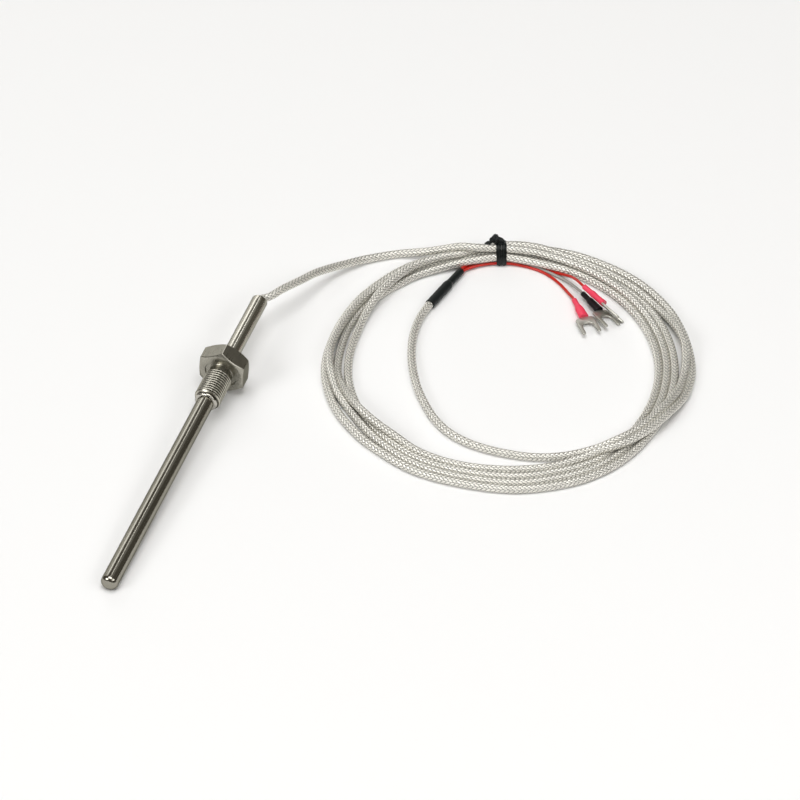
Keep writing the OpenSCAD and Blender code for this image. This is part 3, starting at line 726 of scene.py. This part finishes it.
def probe_piece(name, profile, slot, *nodes, sides=72, wobble=None, caps=(True, True), sharp=40):
    rings = turned(profile, SHOULDER, ABOVE, SIDE, ALONG, sides, wobble)
    run = np.concatenate([[0], np.cumsum([math.hypot(b[0] - a[0], b[1] - a[1])
                                          for a, b in zip(profile, profile[1:])])])
    return piece(name, skin(rings, run, caps), slot, *nodes, sharp=sharp)


INSERTION, TIP_ROUND = 110.0, 1.9
tip_profile = [(-INSERTION, 0.02), (-INSERTION, SHEATH_R - TIP_ROUND)]
tip_profile += [(-INSERTION + TIP_ROUND - TIP_ROUND * math.cos(a),
                 SHEATH_R - TIP_ROUND + TIP_ROUND * math.sin(a))
                for a in np.linspace(0.12, math.pi / 2, 12)]
probe_piece("sheath_tube", straight(tip_profile + [(3.5, SHEATH_R), (3.5, 2.7)], 2.0),
            "sheath_steel", "probe_sheath")
probe_piece("sleeve_tube",
            straight(rounded([(3.5, 2.6), (3.5, SLEEVE_R), (40, SLEEVE_R), (40, 2.5), (38.5, 2.5)],
                             0.3, 5), 2.0),
            "sleeve_steel", "rear_sleeve", caps=(False, False))


def bead_wobble(s, angles):
    return (0.07 * np.sin(5 * angles + 1.3 * s) + 0.05 * np.sin(9 * angles - 2 * s)
            + 0.03 * np.sin(17 * angles))


probe_piece("bead_ring", [(-15.45, 3.05)] + [
    (-14.65 - 0.75 * math.cos(a), 3.3 + 0.95 * math.sin(a)) for a in np.linspace(0.1, 2.6, 12)]
    + [(-13.9, 3.3)], "braze", "braze_bead", wobble=bead_wobble, caps=(False, False), sharp=80)

HEX_FLATS, HEX_LENGTH, HEX_CHAMFER, HEX_ROLL = 17.0, 7.0, 1.0, 4.0
THREAD_R, THREAD_LENGTH, NECK_LENGTH, NECK_R = 5.0, 12.0, 2.0, 4.35
RECESS_R, RECESS_DEPTH, THREAD_PITCH, THREAD_DEPTH = 6.1, 0.5, 1.09, 0.54


def fitting():
    """The chamfered hexagon, with a relief neck and a thread in front of it."""
    corner = HEX_FLATS / 2 / math.cos(math.radians(30))
    end_r = corner - HEX_CHAMFER / math.tan(math.radians(30))
    count = 240
    angles = np.arange(count) * TAU / count
    # the corners stand HEX_ROLL degrees from straight up
    corner_at = math.radians(90 - HEX_ROLL)
    phase = (angles - corner_at + math.radians(30)) % math.radians(60) - math.radians(30)
    hex_r = (HEX_FLATS / 2) / np.cos((np.abs(phase) - math.radians(30)))
    run = (hex_r - end_r) * math.tan(math.radians(30))

    def ring(stations, radii):
        stations = np.broadcast_to(stations, (count,))
        radii = np.broadcast_to(radii, (count,))
        return (SHOULDER + stations[:, None] * ALONG
                + (np.cos(angles) * radii)[:, None] * SIDE
                + (np.sin(angles) * radii)[:, None] * ABOVE)

    # a narrow facet breaks the edge between each flat and its chamfer, which slopes at 30 degrees
    facet = 0.17
    facet_run, facet_drop = 0.5 * facet, 0.866 * facet
    rings = [ring(0.08, RECESS_R), ring(0.0, RECESS_R + 0.08), ring(0.0, 7.0),
             ring(0.0, end_r - 0.2), ring(0.02, end_r - 0.04), ring(0.05, end_r + 0.06),
             ring(0.4 * run, end_r + 0.4 * (hex_r - end_r)),
             ring(run - facet_run, hex_r - facet_drop), ring(run + facet, hex_r)]
    for s in np.linspace(2, HEX_LENGTH - 2, 4):
        rings.append(ring(s, hex_r))
    back = HEX_LENGTH - run
    rings += [ring(back - facet, hex_r), ring(back + facet_run, hex_r - facet_drop),
              ring(HEX_LENGTH - 0.35 * run, end_r + 0.35 * (hex_r - end_r)),
              ring(HEX_LENGTH - 0.04, end_r + 0.06), ring(HEX_LENGTH, end_r - 0.1),
              ring(HEX_LENGTH, 5.5), ring(HEX_LENGTH, SLEEVE_R + 0.35),
              ring(HEX_LENGTH + 0.12, SLEEVE_R + 0.12), ring(HEX_LENGTH + 0.3, SLEEVE_R - 0.02)]
    hexagon = skin(rings[::-1], caps=(False, False))
    # recess in the seating face, relief neck and the start of the thread
    start = -NECK_LENGTH
    neck = [ring(0.0, RECESS_R + 0.08), ring(0.08, RECESS_R), ring(RECESS_DEPTH, RECESS_R),
            ring(RECESS_DEPTH, NECK_R + 0.15), ring(RECESS_DEPTH - 0.15, NECK_R),
            ring(RECESS_DEPTH - 0.3, NECK_R), ring(start + 0.35, NECK_R), ring(start + 0.2, NECK_R),
            ring(start, NECK_R + 0.1)]
    # right-hand thread: each row follows the helix, and both ends run out in a chamfer
    per = 16  # rows to a pitch
    # across half a pitch: a crest, a flank that curves down from it, and a straight flank
    crest, bend, curve = 0.18, 0.6, 3.9
    first, last = start - THREAD_LENGTH, start
    rows = int((THREAD_LENGTH / THREAD_PITCH + 2) * per)
    thread, shades = [], []
    for k in range(rows):
        s = first + (k / per - angles / TAU) * THREAD_PITCH
        s = np.clip(s, first, last)
        off = abs(2 * (k / per % 1) - 1)
        ridge = 1 - curve * (max(0.0, min(off, bend) - crest) ** 2 / 2
                             + (bend - crest) * max(0.0, off - bend))
        cone = np.minimum(s - first, last - s) * 1.1 + NECK_R
        thread.append(ring(s, np.minimum(THREAD_R - THREAD_DEPTH * (1 - ridge), cone)))
        # painted light for each row: painted shade in the groove, a painted highlight on the crest
        shades.append(float(np.interp(off, (0.3, 0.5, 0.75), (-1, 0, 1))))
    faces = []
    for i in range(rows - 1):
        for j in range(count):
            # after a full turn a row goes on a pitch further down
            k = i * count + j + 1 if j < count - 1 else (i - per) * count
            if k >= 0:
                faces.append((i * count + j, (i + 1) * count + j, k + count, k))
    end = skin([ring(first, NECK_R), ring(first, SHEATH_R - 0.05)], caps=(False, False))
    body = join([hexagon, skin(neck, caps=(False, False)),
                 (np.reshape(thread, (-1, 3)), faces, [(0.0, 0.0)] * (4 * len(faces))), end])
    # painted light of the whole body: none on the hexagon and neck, painted shade and highlight on the
    # thread, a little painted shade on its front end
    painted_light = np.concatenate([np.zeros((len(rings) + len(neck)) * count),
                             np.repeat(shades, count), np.full(2 * count, 0.2)])
    return piece("fitting_body", body, "fitting_steel", "process_fitting", sharp=28,
                 painted_light=painted_light)


fitting()


# ---- Tie ----

def tie():
    """Two strips round the bundle, whose ends are wound into a knot."""
    a = math.radians(TIE_ANGLE)
    out = np.array([math.cos(a), math.sin(a), 0])
    tangent = np.array([math.sin(a), -math.cos(a), 0])
    up = np.array([0, 0, 1.0])

    def at(r, z, w=0.0):
        return COIL + r * out + z * up + w * tangent

    def crossings(path, w):
        """Radius and height where a path passes a plane across the tie."""
        side = (path - COIL) @ tangent - w
        out_of = (path - COIL) @ out
        for k in np.nonzero((side[:-1] * side[1:] <= 0) & (out_of[:-1] > 0))[0]:
            share = side[k] / (side[k] - side[k + 1])
            yield (out_of[k] + share * (out_of[k + 1] - out_of[k]),
                   path[k, 2] + share * (path[k + 1, 2] - path[k, 2]))

    # a strip lies this far outside what it holds, and its wire stands this far out of it
    lift, wire = 0.22, 0.4
    # outline round everything that the tie holds
    held = [(r, z, radius)
            for path, radius in [(lead_path, LEAD_D / 2)] + [(p, CORE_D / 2)
                                                             for p in core_paths.values()]
            for w in (TIE_SHIFT - 1.8, TIE_SHIFT, TIE_SHIFT + 1.8) for r, z in crossings(path, w)]
    cloud = sorted((r + (reach + lift) * math.cos(t), z + (reach + lift) * math.sin(t))
                   for r, z, reach in held for t in np.linspace(0, TAU, 40, endpoint=False))
    hull = []
    for points in (cloud, cloud[::-1]):
        chain = []
        for p in points:
            while len(chain) > 1 and ((chain[-1][0] - chain[-2][0]) * (p[1] - chain[-2][1])
                                      - (chain[-1][1] - chain[-2][1]) * (p[0] - chain[-2][0])) <= 0:
                chain.pop()
            chain.append(p)
        hull += chain[:-1]
    loop = even([(*p, 0) for p in hull + hull[:1]], 0.45)[:-1, :2]
    for _ in range(3):
        loop = (np.roll(loop, 1, 0) + 2 * loop + np.roll(loop, -1, 0)) / 4
    # the wire rests on the floor
    loop[:, 1] = np.maximum(loop[:, 1], wire)
    normal = np.roll(loop, -1, 0) - np.roll(loop, 1, 0)
    normal = np.stack([normal[:, 1], -normal[:, 0]], 1)
    normal /= np.linalg.norm(normal, axis=1)[:, None]
    # section of a strip: flat wings and a wire in the middle
    section = [(-0.92, -0.12), (-0.96, 0), (-0.92, 0.14), (-0.5, 0.17), (-0.3, 0.3), (0, wire),
               (0.3, 0.3), (0.5, 0.17), (0.92, 0.14), (0.96, 0), (0.92, -0.12), (0, -0.14)]
    parts = []
    for shift, skew in ((TIE_SHIFT - 0.93, 0.1), (TIE_SHIFT + 0.93, -0.08)):
        rings = []
        for k, ((r, z), (nr, nz)) in enumerate(zip(loop, normal)):
            lean = skew * math.sin(TAU * k / len(loop))
            rings.append([at(r + h * nr, z + h * nz, shift + lean + w) for w, h in section[::-1]])
        parts.append(skin(rings + rings[:1], caps=(False, False)))

    def strip(route, flats, half=1.0, thick=0.5):
        """A flat strip along a route; its flat side turns from one direction to the next."""
        centre = smooth_route(route, 0.3)
        run = np.gradient(centre, axis=0)
        run /= np.linalg.norm(run, axis=1)[:, None]
        turns = np.linspace(0, len(flats) - 1, len(centre))
        rings = []
        for k, (p, t) in enumerate(zip(centre, run)):
            flat = np.array([np.interp(turns[k], range(len(flats)), [f[j] for f in flats])
                             for j in range(3)])
            flat = flat - t * flat.dot(t)
            flat /= np.linalg.norm(flat)
            edge = np.cross(t, flat)
            taper = 0.55 + 0.45 * min(1, (len(centre) - 1 - k) / 4)
            rings.append([p + flat * half * taper * math.cos(b) + edge * thick
                          * (1 + 0.4 * math.cos(b) ** 8) * math.sin(b)
                          for b in np.linspace(0, TAU, 14, endpoint=False)])
        return skin(rings)

    # the ends leave the top of the band, wind round each other and part again
    lean = up * 0.86 - tangent * 0.5 + out * 0.1
    lean /= np.linalg.norm(lean)
    one = np.cross(lean, out)
    one /= np.linalg.norm(one)
    two = np.cross(lean, one)
    foot = at(63.2, 8.1, -0.3)
    for turn in (0.0, math.pi):
        route, flats = [at(62.4, 7.5, 0.6 if turn else 1.6), at(62.8, 8.1, 0.5)], [tangent, tangent]
        for t in np.linspace(0, 1, 9):
            angle = turn + 1.1 * TAU * t
            radial = math.cos(angle) * one + math.sin(angle) * two
            route.append(foot + lean * 2.9 * t + radial * (0.6 + 0.15 * math.sin(math.pi * t)))
            flats.append(np.cross(radial, lean))
        last = route[-1]
        if turn:
            # the pointed end falls beside the knot and lies over the strands
            ends = [at(63.0, 10.2, -2.5), at(62.8, 9.3, -2.75), at(62.6, 8.6, -3.4),
                    at(62.5, 8.3, -4.3), at(62.4, 8.0, -5.3)]
            flats += [tangent, tangent + 0.5 * out] + [0.8 * out + 0.4 * up] * 3
        else:
            # the other folds back over the band
            ends = [last + 0.4 * tangent - 0.2 * lean, at(63.3, 9.7, -0.2), at(63.2, 9.1, 1.0),
                    at(63.1, 8.5, 2.1)]
            flats += [up + out] * 4
        parts.append(strip(route + ends, flats))
    return piece("tie_strips", join(parts), "tie_plastic", "twist_tie", sharp=50)


tie_piece = tie()


# ---- Floor and light ----

floor = build("floor", [(-4000, -4000, 0), (4000, -4000, 0), (4000, 4000, 0), (-4000, 4000, 0)],
              [(0, 1, 2, 3)], smooth=False)
paper = Shader("floor", (0.9, 0.9, 0.9), 0.9)
paper.set("Specular IOR Level", 0.1)
floor.data.materials.append(paper.material)


def area(name, place, size, power, aim=(0.07, 0.06, 0)):
    data = bpy.data.lights.new(name, "AREA")
    data.shape = "RECTANGLE"
    data.size, data.size_y = size
    data.energy = power
    obj = bpy.data.objects.new(name, data)
    obj.location = place
    look_at(obj, aim)
    bpy.context.scene.collection.objects.link(obj)


area("back_left", (-0.8, 1.1, 0.9), (0.9, 0.5), 2.7)
area("back_left_low", (-1.05, 1.1, 0.32), (0.9, 0.5), 1.35)
area("strip", (0.0, 1.1, 1.46), (0.14, 0.5), 0.6)
area("top_back", (0.25, 1.1, 1.45), (1.0, 0.5), 0.3)
area("right", (1.0, -0.3, 0.85), (1.2, 0.45), 4.5)
area("overhead", (0.1, -0.15, 1.8), (1.3, 1.2), 21)
area("front_left", (-0.9, -1.3, 1.1), (0.8, 0.8), 13)

world = bpy.data.worlds.new("world")
world.use_nodes = True
background = next(n for n in world.node_tree.nodes if n.type == "BACKGROUND")
background.inputs["Color"].default_value = (1, 0.93, 0.78, 1)
background.inputs["Strength"].default_value = 0.12
bpy.context.scene.world = world
bpy.context.scene.view_settings.view_transform = "Standard"

bpy.context.view_layer.update()
